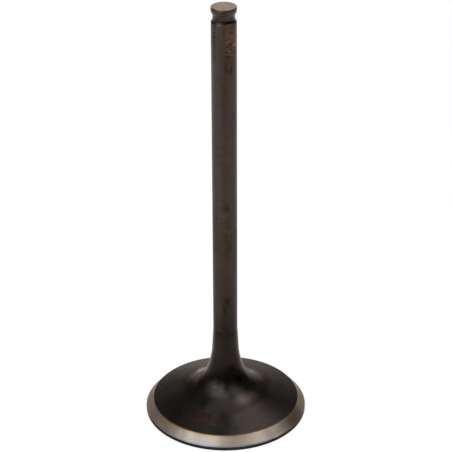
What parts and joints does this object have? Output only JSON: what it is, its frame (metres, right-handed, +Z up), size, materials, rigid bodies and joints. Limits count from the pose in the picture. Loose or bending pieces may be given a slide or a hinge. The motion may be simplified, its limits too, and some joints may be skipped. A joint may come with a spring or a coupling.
{
  "type": "engine valve",
  "caption": "Poppet valve in one piece: a long slim stem with a keeper groove near its tip, flaring through a tapered neck into a round head with a ground seat face.",
  "frame": {"origin": "centre of the combustion face, the flat underside of the head", "axes": "+Z up the stem to its tip; the valve stands on its head and is round about Z"},
  "size_m": [0.037, 0.037, 0.0992],
  "materials": {
    "valve_steel": "dark satin case on stem, neck and back of the head; seat face and stem tip ground bright; blued rim"
  },
  "bodies": {
    "root": {"valve": "valve_steel"}
  },
  "joints": []
}
